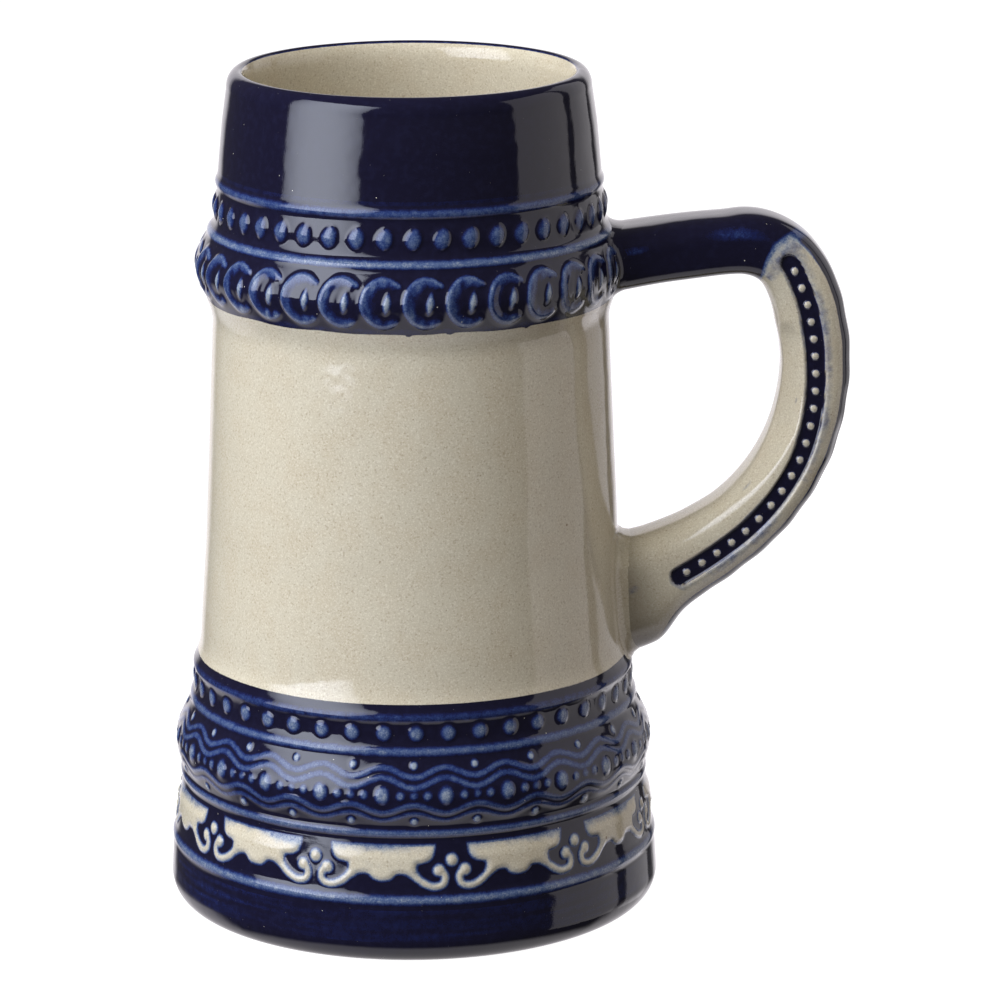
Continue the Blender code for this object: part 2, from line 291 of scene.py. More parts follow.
def grid_mesh(name, points, attributes, ring_closed=False, capped=False, sharp_rows=()):
    """A mesh from a grid of points whose columns wrap round. Rows are joined end to end when
    ring_closed, or closed by a fan at both ends when capped. Each attribute is a grid of numbers."""
    rows, columns = points.shape[:2]
    index = np.arange(rows * columns).reshape(rows, columns)
    beside = np.roll(index, -1, axis=1)
    if ring_closed:
        above, above_beside = np.roll(index, -1, axis=0), np.roll(beside, -1, axis=0)
        quads = np.stack([index, beside, above_beside, above], axis=-1).reshape(-1, 4)
    else:
        quads = np.stack([index[:-1], beside[:-1], beside[1:], index[1:]], axis=-1).reshape(-1, 4)
    vertices = points.reshape(-1, 3)
    values = {key: np.asarray(grid, float).reshape(-1) for key, grid in attributes.items()}
    faces = quads.tolist()
    if capped:
        first, last = len(vertices), len(vertices) + 1
        vertices = np.vstack([vertices, points[0].mean(0), points[-1].mean(0)])
        faces += [[first, int(b), int(a)] for a, b in zip(index[0], beside[0])]
        faces += [[last, int(a), int(b)] for a, b in zip(index[-1], beside[-1])]
        for key, grid in attributes.items():
            values[key] = np.append(values[key], [np.mean(grid[0]), np.mean(grid[-1])])
    mesh = bpy.data.meshes.new(name)
    mesh.from_pydata(vertices.tolist(), [], faces)
    mesh.update(calc_edges=True)
    mesh.shade_smooth()
    for key, numbers in values.items():
        stored = mesh.attributes.new(key, "FLOAT", "POINT")
        stored.data.foreach_set("value", numbers.astype(np.float32))
    if len(sharp_rows):
        ends = np.zeros(len(mesh.edges) * 2, np.int32)
        mesh.edges.foreach_get("vertices", ends)
        row_of = ends.reshape(-1, 2) // columns
        sharp = (row_of[:, 0] == row_of[:, 1]) & np.isin(row_of[:, 0], list(sharp_rows))
        stored = mesh.attributes.new("sharp_edge", "BOOLEAN", "EDGE")
        stored.data.foreach_set("value", sharp)
    return into_scene(name, mesh)


# ---------------- materials
def link(tree, kind, inputs, **settings):
    """A new node whose inputs are set or linked, and its settings set."""
    made = tree.nodes.new(kind)
    for key, value in settings.items():
        setattr(made, key, value)
    for key, value in inputs.items():
        if isinstance(value, bpy.types.NodeSocket):
            tree.links.new(value, made.inputs[key])
        else:
            made.inputs[key].default_value = value
    return made


def maths(tree, operation, *values, clamp=False):
    inputs = dict(enumerate(values))
    return link(tree, "ShaderNodeMath", inputs, operation=operation, use_clamp=clamp).outputs[0]


def times(tree, first, second):
    return maths(tree, "MULTIPLY", first, second)


def mixed(tree, share, first, second):
    inputs = {0: share, 6: first, 7: second}
    return link(tree, "ShaderNodeMix", inputs, data_type="RGBA").outputs[2]


def unsteady(tree, value, texture, amount):
    """The value, pushed up and down by a texture whose middle is 0.5."""
    return maths(tree, "MULTIPLY_ADD", maths(tree, "SUBTRACT", texture, 0.5), amount, value)


def stepped(tree, value, low, high):
    """A smooth step from 0 at low to 1 at high."""
    inputs = {0: value, 1: low, 2: high, 3: 0.0, 4: 1.0}
    return link(tree, "ShaderNodeMapRange", inputs, interpolation_type="SMOOTHSTEP").outputs[0]


def attribute(tree, name):
    return link(tree, "ShaderNodeAttribute", {}, attribute_name=name).outputs["Fac"]


def noise(tree, where, size, detail=2.0, roughness=0.5):
    """Noise about 0.5 whose features have the given size in metres."""
    inputs = {"Vector": where, "Scale": 1 / size, "Detail": detail, "Roughness": roughness}
    return link(tree, "ShaderNodeTexNoise", inputs).outputs[0]


def specks(tree, where, spacing, radius, share):
    """1 in small round specks, of which only a share of the cells of the given spacing has one."""
    inputs = {"Vector": where, "Scale": 1 / spacing, "Randomness": 1.0}
    cells = link(tree, "ShaderNodeTexVoronoi", inputs)
    chosen = link(tree, "ShaderNodeSeparateColor", {0: cells.outputs["Color"]})
    near = stepped(tree, cells.outputs["Distance"], radius / spacing, 0.6 * radius / spacing)
    kept = maths(tree, "LESS_THAN", chosen.outputs[0], share)
    return times(tree, near, kept)


def colour_ramp(tree, level, stops):
    made = link(tree, "ShaderNodeValToRGB", {0: level})
    ramp = made.color_ramp
    while len(ramp.elements) < len(stops):
        ramp.elements.new(0.5)
    for element, (position, colour) in zip(ramp.elements, stops):
        element.position = position
        element.color = (*colour, 1)
    return made.outputs[0]


COBALT_STOPS = ((0.00, (0.0072, 0.0062, 0.0190)), (0.25, (0.0070, 0.0062, 0.0210)),
                (0.42, (0.0090, 0.0140, 0.0680)), (0.58, (0.0240, 0.0450, 0.1450)),
                (0.78, (0.0880, 0.1280, 0.2350)), (1.00, (0.3300, 0.3700, 0.4100)))
COBALT_HAZE = (0.0170, 0.0180, 0.0520, 1)
CREAM = (0.605, 0.538, 0.390, 1)
CREAM_WARM = (0.590, 0.512, 0.362, 1)
CREAM_LIGHT = (0.770, 0.712, 0.560, 1)
# Brown-grey of the painted shade at the handle's lower root and on the joint fillets.
PAINTED_SHADE_COLOUR = (0.190, 0.160, 0.115, 1)
RUST = (0.200, 0.105, 0.045, 1)
BARE_CLAY = (0.450, 0.330, 0.200, 1)


def glazed_stoneware():
    """Cobalt and clear glaze over cream stoneware. The mesh says where: 'cream' is 1 on cream areas
    and 0 on cobalt ones, 'thin' is how thin the cobalt lies, 'bare' is 1 on unglazed clay, and
    'painted_shade' is painted shade: how far the cream is darkened towards brown-grey. One that a mesh lacks
    is 0."""
    material = bpy.data.materials.new("glazed_stoneware")
    material.use_nodes = True
    tree = material.node_tree
    shader = tree.nodes["Principled BSDF"]
    where = link(tree, "ShaderNodeTexCoord", {}).outputs["Object"]
    grain = noise(tree, where, 0.00030, 2.0, 0.6)
    mottle = noise(tree, where, 0.0013, 3.0, 0.55)
    cloud = noise(tree, where, 0.0060, 2.0)

    thin = attribute(tree, "thin")
    uneven = unsteady(tree, unsteady(tree, thin, grain, 0.50), mottle, 0.50)
    shown = stepped(tree, thin, 0.20, 0.45)  # the deep glaze in the hollows stays even
    level = maths(tree, "ADD", times(tree, thin, maths(tree, "SUBTRACT", 1.0, shown)),
                  times(tree, uneven, shown), clamp=True)
    cobalt = colour_ramp(tree, level, COBALT_STOPS)
    haze = times(tree, stepped(tree, mottle, 0.42, 0.72), 0.20)
    cobalt = mixed(tree, haze, cobalt, COBALT_HAZE)
    pinholes = specks(tree, where, 0.0022, 0.00013, 0.18)
    fine_pinholes = specks(tree, where, 0.0012, 0.00010, 0.22)
    faint = times(tree, fine_pinholes, 0.10)
    holes = maths(tree, "MULTIPLY_ADD", pinholes, 0.75, faint)
    cobalt = mixed(tree, holes, cobalt, CREAM_LIGHT)

    cream = mixed(tree, stepped(tree, cloud, 0.35, 0.70), CREAM, CREAM_WARM)
    light_grain = stepped(tree, grain, 0.44, 0.74)
    cream = mixed(tree, times(tree, light_grain, 0.75), cream, CREAM_LIGHT)
    dark_grain = stepped(tree, noise(tree, where, 0.00042, 1.0), 0.54, 0.78)
    cream = mixed(tree, times(tree, dark_grain, 0.32), cream, RUST)
    small = specks(tree, where, 0.0030, 0.00022, 0.22)
    large = specks(tree, where, 0.0085, 0.00034, 0.30)
    marks = maths(tree, "ADD", times(tree, small, 0.45), times(tree, large, 0.7))
    cream = mixed(tree, marks, cream, RUST)
    # Painted shade: the cream is darkened towards brown-grey where the mesh asks for it.
    cream = mixed(tree, attribute(tree, "painted_shade"), cream, PAINTED_SHADE_COLOUR)

    cover = stepped(tree, unsteady(tree, attribute(tree, "cream"), mottle, 0.30), 0.30, 0.70)
    colour = mixed(tree, cover, cobalt, cream)
    bare = attribute(tree, "bare")
    colour = mixed(tree, bare, colour, BARE_CLAY)
    tree.links.new(colour, shader.inputs["Base Color"])

    fine = maths(tree, "MULTIPLY_ADD", grain, 0.03, 0.045)
    rough = maths(tree, "MULTIPLY_ADD", bare, 0.6, fine, clamp=True)
    tree.links.new(rough, shader.inputs["Roughness"])
    waves = noise(tree, where, 0.0035, 1.0)
    height = maths(tree, "MULTIPLY_ADD", grain, 0.10, waves)
    bump = link(tree, "ShaderNodeBump", {"Height": height, "Distance": 0.00004, "Strength": 1.0})
    tree.links.new(bump.outputs[0], shader.inputs["Normal"])
    shader.inputs["IOR"].default_value = 1.52
    return material


GLAZE = glazed_stoneware()


def finish_piece(piece, *nodes, slot="cream_glaze"):
    piece.data.materials.append(GLAZE)
    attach(piece, "root")
    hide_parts(*nodes)


# ---------------- relief of the belts
# Each relief gives how proud the surface stands, and its tone: 0 where the cobalt pools, 1 where it
# draws off an edge and the pale clay shows through.
def rings_tone(z, rings, tones):
    total = 0
    for (centre, half_height, _), tone in zip(rings, tones):
        total = total + tone * np.clip(1.15 * swelling(z, centre, half_height * 1.1, 1.0), 0, 1)
    return total


def spots(theta, z, pitch, phase, height, size, metre):
    """Distance from a row of round spots, 1 at their edges. Metre is the length of a degree there."""
    return np.hypot(from_nearest(theta, pitch, phase) * metre / size[0], (z - height) / size[1])


def upper_relief(theta, z):
    relief = sum(swelling(z, *ring) for ring in UPPER_RINGS) + coin_ring(z)
    tone = rings_tone(z, UPPER_RINGS, (0.38, 0.60)) + 0 * theta
    metre = math.radians(1) * UPPER_BEADS_RADIUS  # of arc to a degree
    across = from_nearest(theta, 360 / UPPER_BEADS, UPPER_BEAD_PHASE) * metre
    up = z - UPPER_BEAD_HEIGHT
    half_width, half_height, proud = UPPER_BEAD_SIZE
    across = across - 0.10 * up
    pointed = np.where(across < 0, 1.55, 2.1)
    reach = np.sqrt((np.abs(across) / half_width) ** pointed + (np.abs(up) / half_height) ** pointed)
    relief = relief + dome(reach, proud, 0.65)
    tone = np.maximum(tone, 0.50 * stroke(reach, 1.0))

    metre = math.radians(1) * COINS_RADIUS
    pitch = 360 / COINS
    coin = np.zeros_like(relief)
    shade = 0.30 * ease(0.1196, 0.1183, z) + 0 * theta
    taken = np.zeros(relief.shape, bool)
    beside = from_nearest(theta, pitch, COIN_PHASE)
    streaks = ripple(theta, 0.3 * z, 41, 0.0016, 0.13)
    for step in (1, 0, -1):  # a coin lies over the one on its left
        bar_side = (beside - step * pitch) * metre
        up = z - COIN_HEIGHT
        u = bar_side - COIN_SIDEWAYS
        scale = np.hypot(u / COIN_HALF_SIZE[0], up / COIN_HALF_SIZE[1])
        inward = (1 - scale) * 0.0048  # roughly the distance in from the coin's outline
        here = (inward > 0) & ~taken
        turn = np.degrees(np.arctan2(up, u))
        open_side = np.where(turn > 0, ease(44, 56, turn), ease(-42, -60, turn))
        rim = ease(-0.00010, 0.00050, inward) * (1 - ease(0.00080, 0.00260, inward)) * open_side
        hook = np.hypot(u - COIN_HOOK[0], up - COIN_HOOK[1]) / COIN_HOOK[2]
        rim = np.maximum(rim, dome(hook, 0.85, 0.8) * ease(0, 0.0003, inward))
        core = ease(1.2, 0.8, np.hypot((bar_side - 0.0007) / 0.0024, up / 0.0031))
        lean = (bar_side - 0.14 * up) / (COIN_BAR[0] * (1 - 0.45 * np.abs(up) / COIN_BAR[1]))
        bar = np.hypot(lean, up / COIN_BAR[1])
        height = COIN_EDGE_PROUD * rim - 0.00008 * core + dome(bar, COIN_BAR[2], 0.8)
        crescent = ease(0.00002, 0.00035, inward) * (1 - ease(0.00060, 0.00150, inward)) * open_side
        crescent = np.maximum(crescent, 0.9 * stroke(hook, 0.9))
        halfway = (0.33 + streaks) * (1 - ease(0.0016, 0.0032, inward)) * open_side
        colour = np.maximum((0.56 + 0.7 * streaks) * crescent, halfway * ease(0.0, 0.0004, inward))
        colour = np.maximum(colour * (1 - core), 0.84 * stroke(bar, 0.95))
        coin = np.where(here, height, coin)
        shade = np.where(here, colour, shade)
        taken |= here
    return relief + coin, np.maximum(tone, shade)


def wave_relief(theta, z):
    relief = sum(swelling(z, *ring) for ring in WAVE_RINGS) + wave_bulge(z)
    tone = rings_tone(z, WAVE_RINGS, (0.22, 0.52, 0.56)) + 0 * theta
    beads = spots(theta, z, 360 / LOWER_BEADS, LOWER_BEAD_PHASE, LOWER_BEAD_HEIGHT, LOWER_BEAD_SIZE,
                  math.radians(1) * LOWER_BEADS_RADIUS)
    details = dome(beads, LOWER_BEAD_SIZE[2], 0.65)
    tone = np.maximum(tone, 0.64 * stroke(beads, 1.0))
    metre = math.radians(1) * WAVES_RADIUS
    swing = np.cos(np.radians(WAVES * theta))
    slant = np.sin(np.radians(WAVES * theta)) * WAVES / WAVES_RADIUS
    for mean, amount, half_width, pale in WAVE_LINES:
        off = np.abs(z - mean - amount * swing) / np.sqrt(1 + (amount * slant) ** 2)
        details = np.maximum(details, dome(off / half_width, WAVE_LINE_PROUD, 0.9))
        tone = np.maximum(tone, pale * stroke(off, half_width))
    middle = WAVE_PITCH / 2
    rows = [(middle, CHAIN_HEIGHT, CHAIN_OVAL, 0.74), (0, CHAIN_HEIGHT, CHAIN_PINCH_DOT, 0.48),
            (middle - CHAIN_DOT_OFFSET, CHAIN_HEIGHT, CHAIN_DOT, 0.60),
            (middle + CHAIN_DOT_OFFSET, CHAIN_HEIGHT, CHAIN_DOT, 0.64)]
    rows += [(0, height, EDGE_DOT, 1.0) for height in EDGE_DOT_HEIGHTS]
    for phase, height, size, pale in rows:
        reach = spots(theta, z, WAVE_PITCH, phase, height, size, metre)
        details = np.maximum(details, dome(reach, size[2], 0.7))
        tone = np.maximum(tone, pale * stroke(reach, 1.0))
    return relief + details, tone


def rounded_line(knots, steps=7):
    """More points along a line through the knots, so that it bends smoothly (Catmull-Rom)."""
    knots = np.array(knots, float)
    padded = np.vstack([2 * knots[0] - knots[1], knots, 2 * knots[-1] - knots[-2]])
    out = []
    for a, b, c, d in zip(padded[:-3], padded[1:-2], padded[2:-1], padded[3:]):
        for t in np.arange(steps) / steps:
            out.append(0.5 * (2 * b + (c - a) * t + (2 * a - 5 * b + 4 * c - d) * t ** 2
                              + (3 * b - a - 3 * c + d) * t ** 3))
    return np.array(out + [knots[-1]])


def distance_to_line(u, z, line):
    nearest = np.full(np.broadcast(u, z).shape, 1.0)
    for (u0, z0), (u1, z1) in zip(line[:-1], line[1:]):
        along = ((u - u0) * (u1 - u0) + (z - z0) * (z1 - z0)) / ((u1 - u0) ** 2 + (z1 - z0) ** 2)
        along = np.clip(along, 0, 1)
        nearest = np.minimum(nearest, np.hypot(u - u0 - along * (u1 - u0), z - z0 - along * (z1 - z0)))
    return nearest


def scroll_distance(theta, z):
    """Signed distance to the cream figures of the scroll belt: negative inside them."""
    metre = math.radians(1) * SCROLLS_RADIUS
    side = from_nearest(theta, SCROLL_PITCH, SCROLL_PHASE)
    u = np.abs(side) * metre
    edge = np.array(DRAPERY_EDGE) * (metre, 1)
    below = z < np.interp(u, edge[:, 0], edge[:, 1])
    distance = distance_to_line(u, z, edge)
    drapery = np.where(below, distance, -distance)
    step = math.radians(360 / BELT_COLUMNS) * SCROLLS_RADIUS
    drapery = blurred(drapery, 0.00024 / BELT_STEP, 0.00024 / step)
    drapery = np.maximum(drapery, z - DRAPERY_TOP)
    comma = rounded_line(np.array(COMMA) * (metre, 1))
    strokes = distance_to_line(u, z, comma) - COMMA_HALF_WIDTH
    head = np.hypot(u - comma[0, 0], z - comma[0, 1]) - COMMA_HEAD_RADIUS
    ball = np.hypot(side * metre, z - SCROLL_BALL[0]) - SCROLL_BALL[1]
    joined = np.minimum(drapery, strokes) - 0.00022 * ease(0.0009, 0.0, np.abs(drapery - strokes))
    return np.minimum(np.minimum(joined, head), ball)


def scroll_relief(theta, z):
    relief = swelling(z, *SCROLL_RING)
    top = 1 - 0.85 * ease(0.0200, 0.0226, z)  # the drapery grows out of the wall at its top
    figures = ease(0.00035, -0.00085, scroll_distance(theta, z))
    tone = rings_tone(z, (SCROLL_RING,), (0.62,)) + 0 * theta
    halo = ease(0.00060, 0.0, scroll_distance(theta, z))
    return relief + SCROLL_PROUD * top * figures, np.maximum(tone, halo)


def belt(name, span, relief_of, cream_of):
    """One belt as a thin closed ring: its relief outside, and a plain back that sits in the body."""
    low, high = span
    rows = int(round((high - low) / BELT_STEP)) + 1
    z = np.linspace(low, high, rows)[:, None]
    theta = np.arange(BELT_COLUMNS)[None, :] * 360 / BELT_COLUMNS
    relief, tone = relief_of(theta, z)
    border = ease(0, 0.0006, np.minimum(z - low, high - z))
    step_round = math.radians(360 / BELT_COLUMNS) * BELT_RADIUS
    relief = blurred(relief, 0.00022 / BELT_STEP, 0.00022 / step_round)
    drawn_off = relief - blurred(relief, 0.00110 / BELT_STEP, 0.00110 / step_round)
    local = 0.20 + 0.74 * blurred(tone, 0.4, 0.4) + np.clip(drawn_off / 0.0010, -0.15, 0.15)
    local = np.clip(local, 0, 1)
    relief = relief * border
    wobble = ripple(theta, z, 5, 0.011, 0.000020)
    radius = outside(z) + relief + wobble * border
    back_heights = np.linspace(high, low, BACK_ROWS)[:, None]
    back = np.broadcast_to(outside(back_heights) - BELT_DEPTH, (BACK_ROWS, BELT_COLUMNS))
    points = np.vstack([around(radius, theta, z), around(back, theta, back_heights)])
    cream, thin = cream_of(theta, z, local)
    last = np.repeat(cream[-1:], BACK_ROWS, axis=0)
    attributes = {"cream": np.vstack([cream, last]), "thin": np.vstack([thin, last * 0])}
    sharp = (0, rows - 1, rows, rows + BACK_ROWS - 1)
    finish_piece(grid_mesh(name, points, attributes, ring_closed=True, sharp_rows=sharp), "stein_body")


def upper_colours(theta, z, thin):
    edge = CREAM_STARTS + ripple(theta, 0 * z, 11, 0.012, 0.00012)
    drip = from_nearest(theta, 360 / COINS, COIN_PHASE - 0.5 * 360 / COINS)
    random = np.random.RandomState(4).uniform(0, 1, COINS)
    which = np.floor(((theta - COIN_PHASE) % 360) / (360 / COINS)).astype(int) % COINS
    edge = edge - 0.00035 * (random[which] > 0.80) * np.exp(-(drip / 0.9) ** 2)
    cream = ease(0.00020, -0.00020, z - edge)
    top = ease(0.1400, 0.1412, z)
    return cream, thin * (1 - top) + 0.30 * top


def wave_colours(theta, z, thin):
    edge = CREAM_ENDS + ripple(theta, 0 * z, 12, 0.02, 0.00006)
    return ease(-0.00016, 0.00016, z - edge), thin


def scroll_colours(theta, z, thin):
    distance = scroll_distance(theta, z)
    cream = 0.56 * ease(0.00022, -0.00022, distance) + 0.14 * ease(0, -0.0016, distance)
    bleed = ease(0.0204, 0.0226, z) * (0.12 + ripple(theta, 0 * z, 21, 0.010, 0.18))
    return np.clip(cream - np.clip(bleed, 0, 0.4), 0, 1), thin


belt("relief_belt_coins", UPPER_BELT, upper_relief, upper_colours)
belt("relief_belt_waves", WAVE_BELT, wave_relief, wave_colours)
belt("relief_belt_scrolls", SCROLL_BELT, scroll_relief, scroll_colours)


# ---------------- the turned body
def arc(start, end, centre, steps):
    """A quarter of an ellipse between two points whose axes meet at the centre."""
    turn = np.linspace(0, math.pi / 2, steps)[1:-1]
    first = np.array(start) - centre
    second = np.array(end) - centre
    return [tuple(centre + first * math.cos(t) + second * math.sin(t)) for t in turn]


def body():
    """The whole turned wall as one closed solid: underside, foot, outside, lip, inside and floor.
    It steps back behind each belt of relief."""
    path = []  # (radius, height, cream, thin, bare)
    sharp = []

    def add(radius, height, cream, thin=0.0, bare=0.0):
        path.append((radius, height, cream, thin, bare))

    def wall(low, high, step, cream, thin=0.0):
        for z in np.linspace(low, high, max(2, int(round((high - low) / step)) + 1)):
            add(float(outside(z)), z, cream, thin)

    def behind_belts(*spans):
        sharp.append(len(path) - 1)
        heights = sorted({z for low, high in spans for z in np.linspace(low, high, BACK_ROWS)})
        for z in heights:
            add(float(outside(z)) - BELT_DEPTH + 0.00005, z, 0.0)
        sharp.append(len(path))

    turn_width, turn_end = RECESS_TURN
    centre = np.array([FOOT_RING_INNER_RADIUS - RECESS_MARGIN, turn_end])
    for radius in np.linspace(0.004, centre[0], 12):
        add(radius, UNDERSIDE_RECESS, 1.0)
    for radius, height in arc((centre[0], UNDERSIDE_RECESS), (centre[0] + turn_width, turn_end), centre, 7):
        add(radius, height, 1.0, bare=0.3)
    for radius in np.linspace(FOOT_RING_INNER_RADIUS, FOOT_CONTACT_RADIUS - 0.0004, 8):
        add(radius, 0.0, 1.0, bare=1.0)
    centre = np.array([FOOT_CONTACT_RADIUS, FOOT_ROUND_HEIGHT])
    top = (float(outside(FOOT_ROUND_HEIGHT)), FOOT_ROUND_HEIGHT)
    for radius, height in [(FOOT_CONTACT_RADIUS, 0.0)] + arc((FOOT_CONTACT_RADIUS, 0.0), top, centre, 16):
        clay = float(ease(0.00045, 0.00015, height))
        add(radius, height, clay, 0.45 * float(ease(0.0009, 0.0005, height)), clay)
    wall(FOOT_ROUND_HEIGHT, SCROLL_BELT[0], 0.0006, 0.0, FOOT_TONE)
    behind_belts(SCROLL_BELT, WAVE_BELT)
    wall(WAVE_BELT[1], UPPER_BELT[0], 0.0010, 1.0)
    behind_belts(UPPER_BELT)
    wall(UPPER_BELT[1], LIP_START, 0.0006, 0.0)
    start = (float(outside(LIP_START)), LIP_START)
    crest = (CREST_RADIUS, HEIGHT)
    inner = (float(inside(LIP_INSIDE)), LIP_INSIDE)
    for radius, height in arc(start, crest, np.array([CREST_RADIUS, LIP_START]), 15) + [crest]:
        add(radius, height, 0.0, 0.12)
    for radius, height in arc(crest, inner, np.array([CREST_RADIUS, LIP_INSIDE]), 13):
        add(radius, height, float(ease(*LIP_CREAM, radius)), 0.50 * float(ease(*LIP_THIN, radius)))
    corner_width, corner_end = CUP_CORNER
    for z in np.linspace(LIP_INSIDE, corner_end, 60):
        add(float(inside(z)), z, 1.0)
    corner = np.array([float(inside(corner_end)) - corner_width, corner_end])
    for radius, height in arc((corner[0] + corner_width, corner_end), (corner[0], CUP_FLOOR), corner, 12):
        add(radius, height, 1.0)
    for radius in np.linspace(corner[0], 0.003, 14):
        add(radius, CUP_FLOOR, 1.0)

    radius, z, cream, thin, bare = np.array(path).T[:, :, None]
    theta = np.arange(CORE_COLUMNS)[None, :] * 360 / CORE_COLUMNS
    free = np.array([0.0 if k in sharp else 1.0 for k in range(len(path))])[:, None]
    near_belt = np.minimum.reduce([np.abs(z - edge) for edge in (*UPPER_BELT, *WAVE_BELT, SCROLL_BELT[0])])
    free = free * ease(0.0, 0.004, near_belt) * ease(0.0005, 0.004, z)
    wobble = ripple(theta, z, 7, 0.016, 0.000035) * free
    # Paler streaks round the foot: partly brush marks, partly painted highlights for its streaked glints.
    brush_and_glint_streaks = ripple(theta, 24 * z, 15, 0.020, 0.055) * ease(0.006, 0.005, np.abs(z - 0.006))
    thin = thin + brush_and_glint_streaks * (radius > 0.04)  # brush marks on the foot, also standing in for its streaked glints: painted highlights
    grids = {"cream": cream, "thin": thin, "bare": bare}
    grids = {key: np.broadcast_to(value, wobble.shape) for key, value in grids.items()}
    made = grid_mesh("turned_body", around(radius + wobble, theta, z), grids, capped=True, sharp_rows=sharp)
    finish_piece(made, "stein_body")


body()


# ---------------- the handle
def centreline():
    """Even points along the handle's middle line: (radius from the axis, height)."""
    points = []
    for (_, knot, right), (left, after, _) in zip(CENTRELINE[:-1], CENTRELINE[1:]):
        curve = [Vector((*p, 0)) for p in (knot, right, left, after)]
        piece = interpolate_bezier(*curve, 200)
        points += [tuple(p)[:2] for p in piece[(1 if points else 0):]]
    points = np.array(points)
    length = np.concatenate([[0], np.cumsum(np.hypot(*np.diff(points, axis=0).T))])
    return points, length


LINE, LINE_LENGTH = centreline()
HANDLE_LENGTH = LINE_LENGTH[-1]


def on_line(share):
    """Point, direction and outward direction at a share of the handle's length."""
    def at(s):
        s = np.clip(s, 0, 1) * HANDLE_LENGTH
        return np.stack([np.interp(s, LINE_LENGTH, LINE[:, k]) for k in (0, 1)], axis=-1)

    reach = 0.004
    along = at(np.asarray(share) + reach) - at(np.asarray(share) - reach)
    along /= np.linalg.norm(along, axis=-1, keepdims=True)
    outward = np.stack([-along[..., 1], along[..., 0]], axis=-1)
    return at(share), along, outward


def section_size(share):
    shares, inner, outer, widths = np.array(HANDLE_SECTION).T
    fine = np.linspace(-0.1, 1.1, 1201)
    _, weights = bell(8, 24)

    def smooth(values):
        line = np.interp(fine, shares, values)
        return np.interp(share, fine, np.convolve(np.pad(line, 24, mode="edge"), weights, mode="valid"))

    return smooth(inner), smooth(outer), smooth(widths)


def section(share, turn):
    """The handle's section: depth outside the centreline, width, and the direction its skin faces."""
    inner, outer, half_width = section_size(share)
    cosine, sine = np.cos(turn), np.sin(turn)
    outside_line = cosine > 0
    half_depth = np.where(outside_line, outer, inner)
    squareness = HANDLE_SQUARENESS + np.where(outside_line, 0, 1.6 * ease(0.32, 0.22, share))
    depth = half_depth * np.sign(cosine) * np.abs(cosine) ** (2 / squareness)
    width = half_width * np.sign(sine) * np.abs(sine) ** (2 / squareness)
    normal_depth = np.sign(depth) * (np.abs(depth) / half_depth) ** (squareness - 1) / half_depth
    normal_width = np.sign(width) * (np.abs(width) / half_width) ** (squareness - 1) / half_width
    size = np.hypot(normal_depth, normal_width)
    ridge = np.interp(share, *np.array(HANDLE_RIDGE).T)
    flank = half_width - FLANK_SLOPE * (ridge - depth) + 0.006 * ease(0.42, 0.29, share)
    soft = 0.00017
    narrowed = -soft * np.log(np.exp(-np.abs(width) / soft) + np.exp(-flank / soft))
    width = np.sign(width) * np.maximum(narrowed, 0)
    return depth, width, normal_depth / size, normal_width / size


def section_angles():
    """Angles round the handle's section, closer together over the beaded channels at its sides."""
    turn = np.linspace(0, 2 * math.pi, 4001)
    depth, width, _, _ = section(0.2, turn)
    gaps = np.hypot(np.diff(depth), np.diff(width))
    middle = np.abs(depth[1:] + depth[:-1]) / 2
    dense = 1 + 2.6 * ease(0.0044, 0.0032, middle) * (np.abs(width[1:]) > 0.006)
    total = np.concatenate([[0], np.cumsum(gaps * dense)])
    wanted = (np.arange(HANDLE_POINTS) + 0.5) * total[-1] / HANDLE_POINTS
    return np.interp(wanted, total, turn)


